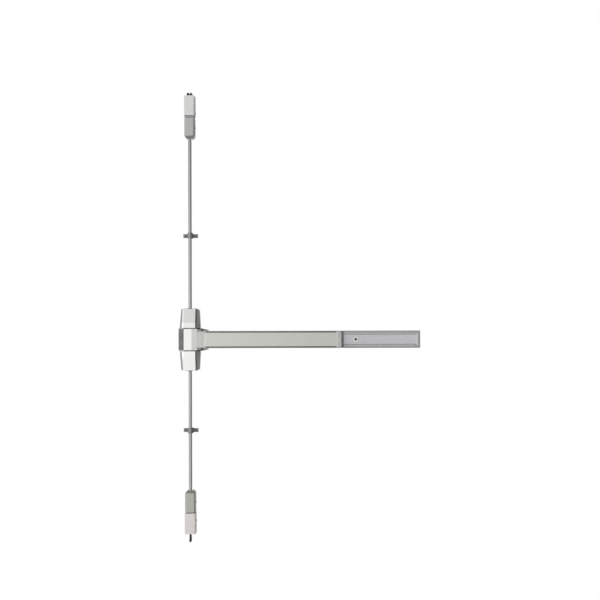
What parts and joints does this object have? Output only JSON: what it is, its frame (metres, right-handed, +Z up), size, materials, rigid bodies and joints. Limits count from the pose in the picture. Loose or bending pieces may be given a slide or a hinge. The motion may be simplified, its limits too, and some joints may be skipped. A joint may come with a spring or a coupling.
{
  "type": "panic exit bar",
  "caption": "Surface vertical rod panic exit bar: a long push pad on a rail that retracts a top and a bottom bolt by two rods.",
  "frame": {"origin": "on the door face, where the line of the rods crosses the line of the bar", "axes": "+X along the bar to its free end, +Z up the rods, +Y into the door"},
  "size_m": [0.7961, 0.097, 1.4805],
  "materials": {
    "stainless": "satin brushed",
    "pale_cap": "light satin paint",
    "satin_grey": "satin",
    "rod_steel": "satin drawn bar",
    "rail_aluminium": "clear anodised",
    "zinc_steel": "zinc plated",
    "dark_casting": "dark oiled casting",
    "bolt_black": "black oxide",
    "screw_steel": "dark zinc",
    "spring_steel": "drawn wire",
    "cap_plastic": "fine moulded texture",
    "nylon": "moulded",
    "ring_chrome": "polished"
  },
  "bodies": {
    "frame": {"centre_base": "zinc_steel", "rod_bush_upper": "nylon", "rod_bush_lower": "nylon", "centre_cover": "stainless", "cover_screws": "screw_steel", "centre_crank_clips": "zinc_steel", "upper_rod_guide": "dark_casting", "lower_rod_guide": "dark_casting", "upper_guide_bush": "nylon", "lower_guide_bush": "nylon", "guide_screws": "screw_steel", "rail": "rail_aluminium", "crank_bracket_left": "zinc_steel", "crank_bracket_right": "zinc_steel", "bell_pivot_pins": "zinc_steel", "rail_screws": "screw_steel", "mechanism_cover": "stainless", "end_bracket": "zinc_steel", "end_cap": "pale_cap", "dogging_bracket": "zinc_steel", "key_ring": "ring_chrome", "damper_body": "bolt_black", "damper_bracket": "zinc_steel", "top_latch_base": "zinc_steel", "top_latch_head": "pale_cap", "top_latch_cover": "satin_grey", "top_bolt_guide": "dark_casting", "trip_pin": "zinc_steel", "bottom_latch_base": "zinc_steel", "bottom_latch_foot": "pale_cap", "bottom_latch_cover": "satin_grey", "bottom_bolt_guide": "dark_casting", "return_spring": "spring_steel", "bottom_spring": "spring_steel"},
    "push_pad": {"push_pad": "stainless", "pad_cap_left": "cap_plastic", "pad_cap_right": "cap_plastic", "pad_bracket_left": "zinc_steel", "pad_bracket_right": "zinc_steel"},
    "bell_crank_left": {"bell_crank_left": "zinc_steel"},
    "bell_crank_right": {"bell_crank_right": "zinc_steel"},
    "link": {"link_bar": "zinc_steel", "centre_slide": "zinc_steel", "link_rivets": "zinc_steel", "dogging_catch": "zinc_steel", "damper_plunger": "zinc_steel"},
    "upper_crank": {"upper_crank": "zinc_steel"},
    "lower_crank": {"lower_crank": "zinc_steel"},
    "upper_rod": {"upper_rod": "rod_steel", "upper_lifter": "zinc_steel", "upper_lock_nut": "zinc_steel", "top_bolt_spring": "spring_steel"},
    "lower_rod": {"lower_rod": "rod_steel", "lower_lifter": "zinc_steel", "lower_lock_nut": "zinc_steel", "bottom_bolt": "bolt_black", "lower_rod_collar": "zinc_steel"},
    "top_bolt": {"top_bolt": "bolt_black"},
    "trip_lever": {"trip_lever": "bolt_black"},
    "dogging_hub": {"dogging_hub": "zinc_steel"}
  },
  "joints": [
    {"name": "push_pad_press", "type": "slide", "parent": "frame", "child": "push_pad", "axis": [0, 1, 0], "range_m": [0, 0.019], "stiffness_N_per_m": 900, "springref_m": -0.012},
    {"name": "bell_crank_left_turn", "type": "hinge", "parent": "frame", "child": "bell_crank_left", "pos_m": [0.15, -0.038, 0], "axis": [0, 0, 1], "range_deg": [-28.6, 1]},
    {"name": "bell_crank_right_turn", "type": "hinge", "parent": "frame", "child": "bell_crank_right", "pos_m": [0.4, -0.038, 0], "axis": [0, 0, 1], "range_deg": [-28.6, 1]},
    {"name": "link_pull", "type": "slide", "parent": "frame", "child": "link", "axis": [1, 0, 0], "range_m": [0, 0.0118], "deforming": ["return_spring"]},
    {"name": "upper_crank_turn", "type": "hinge", "parent": "frame", "child": "upper_crank", "pos_m": [0.022, -0.0185, 0.045], "axis": [0, 1, 0], "range_deg": [-34.6, 1]},
    {"name": "lower_crank_turn", "type": "hinge", "parent": "frame", "child": "lower_crank", "pos_m": [0.022, -0.0185, -0.045], "axis": [0, 1, 0], "range_deg": [-1, 34.6]},
    {"name": "upper_rod_pull", "type": "slide", "parent": "frame", "child": "upper_rod", "axis": [0, 0, -1], "range_m": [0, 0.0131]},
    {"name": "lower_rod_lift", "type": "slide", "parent": "frame", "child": "lower_rod", "axis": [0, 0, 1], "range_m": [0, 0.0131], "deforming": ["bottom_spring"]},
    {"name": "top_bolt_push_in", "type": "slide", "parent": "upper_rod", "child": "top_bolt", "axis": [0, 0, -1], "range_m": [0, 0.01], "stiffness_N_per_m": 400, "springref_m": -0.006, "deforming": ["top_bolt_spring"]},
    {"name": "trip_lever_tilt", "type": "hinge", "parent": "frame", "child": "trip_lever", "pos_m": [0, -0.0355, 0.7775], "axis": [1, 0, 0], "range_deg": [-12, 0], "stiffness_Nm_per_rad": 0.2, "springref_deg": 5.73},
    {"name": "dogging_turn", "type": "hinge", "parent": "frame", "child": "dogging_hub", "pos_m": [0.5445, -0.03, 0], "axis": [0, 1, 0], "range_deg": [0, 90]}
  ],
  "couplings": [
    {"joint": "bell_crank_left_turn", "follows": "push_pad_press", "rad_per_m": -25.721},
    {"joint": "bell_crank_right_turn", "follows": "push_pad_press", "rad_per_m": -25.721},
    {"joint": "link_pull", "follows": "push_pad_press", "ratio": 0.61579},
    {"joint": "upper_crank_turn", "follows": "push_pad_press", "rad_per_m": -31.232},
    {"joint": "lower_crank_turn", "follows": "push_pad_press", "rad_per_m": 31.232},
    {"joint": "upper_rod_pull", "follows": "push_pad_press", "ratio": 0.68421},
    {"joint": "lower_rod_lift", "follows": "push_pad_press", "ratio": 0.68421}
  ]
}
